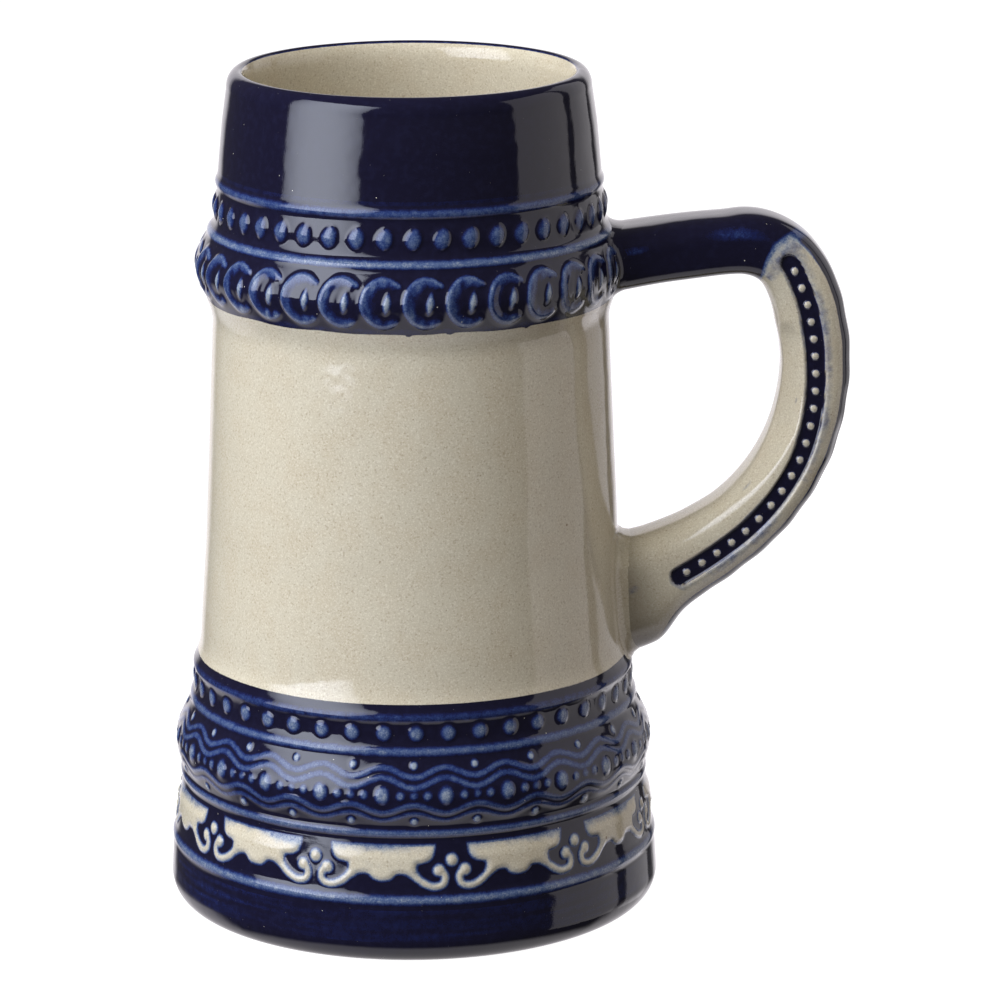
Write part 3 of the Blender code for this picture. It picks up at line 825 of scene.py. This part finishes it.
def handle():
    share = np.linspace(HANDLE_FROM, HANDLE_TO, HANDLE_STEPS)[:, None]
    turn = section_angles()[None, :]
    middle, _, outward = on_line(share[:, 0])
    depth, width, normal_depth, normal_width = section(share, turn)

    s = share * HANDLE_LENGTH
    first, last = (end * HANDLE_LENGTH for end in CHANNEL_SPAN)
    past_end = np.maximum(np.maximum(first - s, s - last), 0)
    on_side = ease(0.55, 0.8, np.abs(normal_width))
    beside = depth - np.interp(share, *np.array(CHANNEL_OFFSET).T)
    channel = np.hypot(past_end, beside) - CHANNEL_HALF_WIDTH
    sunk = ease(0.00030, -0.00030, channel) * on_side
    bead_first, bead_last = (end * HANDLE_LENGTH for end in CHANNEL_BEAD_SPAN)
    pitch = (bead_last - bead_first) / (CHANNEL_BEADS - 1)
    number = np.clip(np.round((s - bead_first) / pitch), 0, CHANNEL_BEADS - 1)
    bead = np.hypot(s - bead_first - number * pitch, beside) / CHANNEL_BEAD_RADIUS
    bead = np.where(on_side > 0.5, bead, 9.0)
    facing_out = ease(0.35, 0.9, normal_depth)
    lumps = np.cos(2 * math.pi * s / BACK_LUMP_PITCH) * BACK_LUMP_PROUD * facing_out
    lumps = lumps * ease(0.30, 0.40, share) * ease(0.90, 0.84, share)
    random = np.random.RandomState(3)
    uneven = 0 * s * turn
    for _ in range(16):
        rise = random.uniform(-1, 1) * 2 * math.pi / 0.014
        uneven = uneven + np.cos(rise * s + random.randint(0, 5) * turn + random.uniform(0, 6.3))
    push = -CHANNEL_DEPTH * sunk + dome(bead, CHANNEL_BEAD_PROUD, 0.55) * on_side + lumps + 0.000012 * uneven
    radius = middle[:, None, 0] + (depth + push * normal_depth) * outward[:, None, 0]
    height = middle[:, None, 1] + (depth + push * normal_depth) * outward[:, None, 1]
    width = width + push * normal_width
    points = np.stack([AXIS_X + radius, -width, height], axis=-1)

    # the cobalt arm ends softly along a curve across the handle
    arm_end = (COBALT_ARM_END + 290 * depth ** 2) * HANDLE_LENGTH
    soft = ripple(40 * turn / math.pi, s, 31, 0.006, 0.00030)
    arm = ease(0.0021, -0.0021, s - arm_end + soft)
    back = ease(0.60, 0.74, normal_depth) * ease(0.95, 0.90, share + 0 * turn)
    gutter = ease(0.00012, -0.00030, channel) * on_side
    button = ease(1.15, 0.75, bead)

    def marks(places):
        mark = 0 * s * turn
        for where, deep, half_length, half_wide in places:
            off = ((s - where * HANDLE_LENGTH) / half_length) ** 2 + ((depth - deep) / half_wide) ** 2
            mark = np.maximum(mark, np.exp(-off))
        return mark

    stain = marks(STAINS)
    patch = ripple(40 * turn / math.pi, s, 33, 0.010, 1.0) * ease(0.4, 0.9, np.abs(normal_width))
    bleed_reach = np.where(beside > 0, 0.0010 + 0.0024 * ease(0.002, 0.0, past_end), 0.0010)
    bleed = ease(1.1, 0.1, channel / bleed_reach) * on_side * np.clip(0.47 + 0.08 * patch, 0, 0.56)
    bleed = np.maximum(bleed, (0.52 + 0.10 * patch) * ease(0.0060, 0.0005, s - arm_end) * on_side)
    cobalt = np.maximum.reduce([arm, back, gutter, 0.50 * stain, bleed])
    cobalt = np.clip(cobalt - 0.62 * button * (gutter > 0.2), 0, 1)
    thin = 0.05 + 0.40 * ease(0.25, 0.65, back) * ease(0.98, 0.80, back) * (1 - arm)
    thin = thin + 0.55 * ease(0.10, 0.5, arm) * ease(0.999, 0.80, arm)
    thin = thin + 0.42 * marks(ARM_PATCHES) * ease(0.5, 0.9, arm) * (normal_width > 0)
    veil = np.where(bleed > gutter, 0.72 * ease(0, 0.2, bleed), 0)
    thin = thin + np.maximum(0.62 * ease(0.1, 0.5, stain), veil) * (1 - arm)
    thin = thin + 0.80 * button * (gutter > 0.2)
    # Painted shade: the cream darkens towards the handle's lower end, where it meets the body.
    painted_shade = 0.70 * ease(0.875, 0.950, share) + 0 * turn
    grids = {"cream": 1 - cobalt, "thin": np.clip(thin, 0, 1), "painted_shade": painted_shade}
    finish_piece(grid_mesh("handle_sweep", points, grids, capped=True), "handle")


handle()


# ---------------- the luted joints
def body_radius(theta, z):
    """Radius of the body's outside with its broad relief."""
    rings = sum(swelling(z, *ring) for ring in UPPER_RINGS + WAVE_RINGS)
    return outside(z) + rings + coin_ring(z) + wave_bulge(z)


def section_point(share, turn):
    """Points on the handle's skin, without its fine relief."""
    middle, _, outward = on_line(share)
    depth, width, _, _ = section(share, turn)
    return np.stack([middle[..., 0] + depth * outward[..., 0], -width,
                     middle[..., 1] + depth * outward[..., 1]], axis=-1)


def clear_of_body(point):
    """How far points lie outside the body, in its own axes."""
    theta = np.degrees(np.arctan2(point[..., 0], -point[..., 1]))
    return np.hypot(point[..., 0], point[..., 1]) - body_radius(theta, point[..., 2])


def luted_joint(name, node, shares, on_handle, on_body, cobalt, slot, ridged=0.0):
    """A fillet of clay between the handle's end and the body: a closed ring whose face is hollow.
    It is looked for between two shares of the handle's length and spreads so far on the handle and
    on the body. Ridged is how strong the soft grooves in its face are."""
    columns, steps = 160, 9
    turn = (np.arange(columns) + 0.5) * 2 * math.pi / columns
    fine = np.linspace(shares[0], shares[1], 500)
    rows = []
    for t in turn:
        line = section_point(fine, t)
        gap = clear_of_body(line)
        inside_body = np.nonzero(gap < 0)[0]
        k = inside_body[0] if len(inside_body) else len(fine) - 1
        meet = line[k]
        travelled = np.concatenate([[0], np.cumsum(np.linalg.norm(np.diff(line[k::-1], axis=0), axis=1))])
        back = k - int(np.searchsorted(travelled, on_handle))
        above = line[max(back, 0)]
        middle, _, _ = on_line(fine[k])
        away = meet - np.array([middle[0], 0, middle[1]])
        outward = np.array([meet[0], meet[1], 0])
        outward /= np.linalg.norm(outward)
        away -= outward * (away @ outward)
        away /= np.linalg.norm(away)
        foot = meet + away * on_body
        foot_theta = math.degrees(math.atan2(foot[0], -foot[1]))
        scale = (body_radius(foot_theta, foot[2]) - 0.00012) / math.hypot(foot[0], foot[1])
        foot = np.array([foot[0] * scale, foot[1] * scale, foot[2]])
        inward = meet - outward * 0.0010 - away * 0.0008
        above = above + (np.array([middle[0], 0, middle[1]]) - meet) * 0.012
        share = np.linspace(0, 1, steps)[:, None]
        corner = meet * 0.85 + (above + foot) * 0.075
        face = (1 - share) ** 2 * above + 2 * share * (1 - share) * corner + share ** 2 * foot
        rows.append(np.vstack([face, inward]))
    points = np.array(rows).transpose(1, 0, 2)
    if ridged:
        grooves = np.sin(np.linspace(0, math.pi, steps)) * ridged
        wave = np.abs(np.sin(np.linspace(0, 3.0 * math.pi, steps)))
        push = (grooves * wave)[:, None, None]
        centre = points.mean(axis=(0, 1))
        points[:steps] += push * (points[:steps] - centre)
    points = points + np.array([AXIS_X, 0, 0])
    ones = np.ones(points.shape[:2])
    # A little painted shade over each fillet, in the crease between handle and body.
    grids = {"cream": ones * (0 if cobalt else 1), "thin": ones * 0.12, "painted_shade": ones * 0.15}
    made = grid_mesh(name, points, grids, ring_closed=True, sharp_rows=(0, steps - 1, steps))
    finish_piece(made, node, slot=slot)


luted_joint("upper_joint_fillet", "upper_slip_joint", (0.20, 0.0), 0.0022, 0.0016, True, "cobalt_glaze")
luted_joint("lower_joint_fillet", "lower_slip_joint", (0.86, 1.0), 0.0026, 0.0022, False, "cream_glaze",
            ridged=0.02)


# ---------------- floor, light and camera
def pale_floor():
    half = 6.0
    corners = [(-half, -half, 0), (half, -half, 0), (half, half, 0), (-half, half, 0)]
    mesh = bpy.data.meshes.new("floor")
    mesh.from_pydata(corners, [], [(0, 1, 2, 3)])
    floor = into_scene("floor", mesh)
    material = bpy.data.materials.new("pale_floor")
    material.use_nodes = True
    shader = material.node_tree.nodes["Principled BSDF"]
    shader.inputs["Base Color"].default_value = (0.25, 0.25, 0.25, 1)
    shader.inputs["Roughness"].default_value = 1.0
    shader.inputs["Specular IOR Level"].default_value = 0.0
    shader.inputs["Emission Color"].default_value = (1, 1, 1, 1)
    shader.inputs["Emission Strength"].default_value = 1.0
    floor.data.materials.append(material)
    floor.visible_glossy = False
    floor.visible_diffuse = False


PANEL_DISTANCE = 0.9


def soft_panel(name, azimuths, elevations, radiance, colour=(1, 1, 1), falloff=0.0, roll=0):
    """A rectangular soft light that spans these angles round the body and above the horizon. Falloff
    is how much of its brightness it loses towards its upright edges."""
    azimuth = math.radians(sum(azimuths) / 2)
    elevation = math.radians(sum(elevations) / 2)
    half_wide = math.radians(azimuths[1] - azimuths[0]) / 2
    half_tall = math.radians(elevations[1] - elevations[0]) / 2
    light = bpy.data.lights.new(name, "AREA")
    light.shape = "RECTANGLE"
    narrowing = math.cos(elevation) if abs(elevation) < 1 else 1.0  # meridians draw together upwards
    light.size = 2 * PANEL_DISTANCE * math.tan(half_wide) * narrowing
    light.size_y = 2 * PANEL_DISTANCE * math.tan(half_tall)
    light.energy = radiance * math.pi * light.size * light.size_y
    light.color = colour
    if falloff:
        light.use_nodes = True
        tree = light.node_tree
        place = link(tree, "ShaderNodeNewGeometry", {}).outputs["Parametric"]
        across = link(tree, "ShaderNodeSeparateXYZ", {0: place}).outputs[0]
        off = maths(tree, "ABSOLUTE", maths(tree, "MULTIPLY_ADD", across, 2.0, -1.0))
        kept = maths(tree, "MULTIPLY_ADD", maths(tree, "POWER", off, 2.5), -falloff, 1.0)
        tree.links.new(kept, tree.nodes["Emission"].inputs["Strength"])
    lamp = into_scene(name, light)
    toward = Vector((math.sin(azimuth) * math.cos(elevation), -math.cos(azimuth) * math.cos(elevation),
                     math.sin(elevation)))
    lamp.location = Vector((AXIS_X, 0, HEIGHT / 2)) + toward * PANEL_DISTANCE
    lamp.rotation_mode = "QUATERNION"
    lamp.rotation_quaternion = toward.to_track_quat("Z", "Y") @ Quaternion((0, 0, 1), math.radians(roll))
    lamp.visible_camera = False
    return lamp


FRONT_FILL = 0.085  # how bright the dark front of the studio is, above and below the horizon
FRONT_FILL_LOW = 0.070
BACKDROP_GLOW = 1.08


def studio_world():
    """White to the camera; round the object it is dark in front and white behind."""
    world = bpy.data.worlds.new("studio")
    world.use_nodes = True
    tree = world.node_tree
    background = tree.nodes["Background"]
    direction = link(tree, "ShaderNodeTexCoord", {}).outputs["Generated"]
    parts = link(tree, "ShaderNodeSeparateXYZ", {0: direction}).outputs
    ray = link(tree, "ShaderNodeLightPath", {}).outputs
    behind = stepped(tree, parts[1], 0.85, 0.93)
    beneath = stepped(tree, parts[2], -0.62, -0.80)
    far_side = stepped(tree, parts[1], 0.15, 0.45)
    table = times(tree, far_side, stepped(tree, parts[2], -0.28, -0.42))
    below = times(tree, maths(tree, "MAXIMUM", beneath, table), ray["Is Glossy Ray"])
    bright = maths(tree, "MAXIMUM", behind, below)
    front = stepped(tree, parts[2], -0.05, 0.12)
    dim = maths(tree, "MULTIPLY_ADD", front, FRONT_FILL - FRONT_FILL_LOW, FRONT_FILL_LOW)
    around_it = maths(tree, "MULTIPLY_ADD", bright, BACKDROP_GLOW, dim)
    seen = ray["Is Camera Ray"]
    strength = mixed(tree, seen, around_it, (1, 1, 1, 1))
    colour = mixed(tree, seen, (0.95, 0.91, 0.95, 1), (1, 1, 1, 1))
    tree.links.new(strength, background.inputs["Strength"])
    tree.links.new(colour, background.inputs["Color"])
    bpy.context.scene.world = world


CAMERA_PLACE = (AXIS_X, -0.9144, 0.31445)
CAMERA_YAW, CAMERA_PITCH, CAMERA_ROLL = 0.0183, -0.2542, -0.0021


def studio_camera():
    data = bpy.data.cameras.new("camera")
    data.lens = 178.77
    data.sensor_width = 36
    data.clip_start, data.clip_end = 0.05, 50
    camera = into_scene("camera", data)
    forward = Vector((math.sin(CAMERA_YAW) * math.cos(CAMERA_PITCH),
                      math.cos(CAMERA_YAW) * math.cos(CAMERA_PITCH), math.sin(CAMERA_PITCH)))
    level = Vector((math.cos(CAMERA_YAW), -math.sin(CAMERA_YAW), 0))
    upright = level.cross(forward)
    right = math.cos(CAMERA_ROLL) * level + math.sin(CAMERA_ROLL) * upright
    up = right.cross(forward)
    camera.matrix_world = Matrix((right, up, -forward)).transposed().to_4x4()
    camera.location = CAMERA_PLACE
    bpy.context.scene.camera = camera


pale_floor()
soft_panel("key_softbox", (-80, -26), (-5, 45), 5.9, (0.84, 0.89, 1.03), falloff=0.65, roll=-7)
soft_panel("side_panel_near", (66, 110), (-30, 40), 0.73, (1.0, 0.95, 0.98))
soft_panel("side_panel_far", (116, 144), (-30, 40), 0.62, (1.0, 0.96, 1.0))
overhead = soft_panel("overhead", (-105, -15), (50, 88), 2.6)
overhead.visible_glossy = False
studio_world()
studio_camera()
bpy.context.scene.view_settings.view_transform = "Standard"
